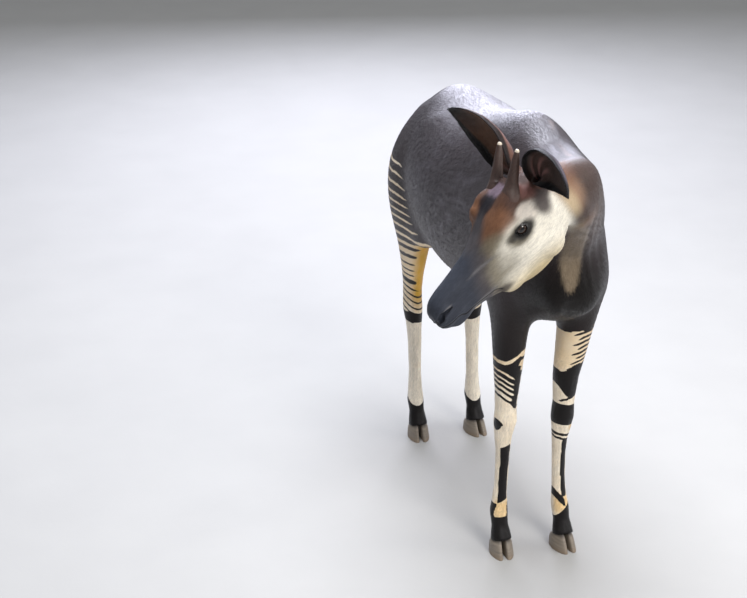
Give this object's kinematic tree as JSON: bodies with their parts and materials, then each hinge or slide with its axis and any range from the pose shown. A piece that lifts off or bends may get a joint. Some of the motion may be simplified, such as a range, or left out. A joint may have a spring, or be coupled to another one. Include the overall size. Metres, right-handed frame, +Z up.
{
  "type": "okapi",
  "caption": "Life-size standing okapi bull with his head turned to his right: big cupped ears, short skin-covered horns, striped legs, cloven hooves and a tufted tail.",
  "frame": {"origin": "middle of the bounding box, at the level of the hoof soles", "axes": "+Z up, -Y the way the body faces, +X the animal's left"},
  "size_m": [0.8444, 1.9568, 1.6726],
  "materials": {
    "coat": "short velvety purplish-brown hair with a satin sheen",
    "face": "short pale and brown hair, dark on the muzzle",
    "leg_coat": "short cream hair with blackish stripes",
    "ear": "thin skin with brown hair, black at the rim",
    "horn": "hair-covered bone, polished pale at the tip",
    "eye": "wet, nearly black",
    "hoof": "dull grey-tan horn",
    "tuft": "coarse black hair"
  },
  "bodies": {
    "root": {"torso": "coat", "neck": "coat", "head": "face", "tail": "coat", "tail_tuft": "tuft", "ear_left": "ear", "horn_left": "horn", "eye_left": "eye", "ear_right": "ear", "horn_right": "horn", "eye_right": "eye", "foreleg_left": "leg_coat", "forecannon_left": "leg_coat", "hoof_fore_left_outer": "hoof", "hoof_fore_left_inner": "hoof", "foreleg_right": "leg_coat", "forecannon_right": "leg_coat", "hoof_fore_right_outer": "hoof", "hoof_fore_right_inner": "hoof", "hindleg_left": "leg_coat", "hindcannon_left": "leg_coat", "hoof_hind_left_outer": "hoof", "hoof_hind_left_inner": "hoof", "hindleg_right": "leg_coat", "hindcannon_right": "leg_coat", "hoof_hind_right_outer": "hoof", "hoof_hind_right_inner": "hoof"}
  },
  "joints": []
}
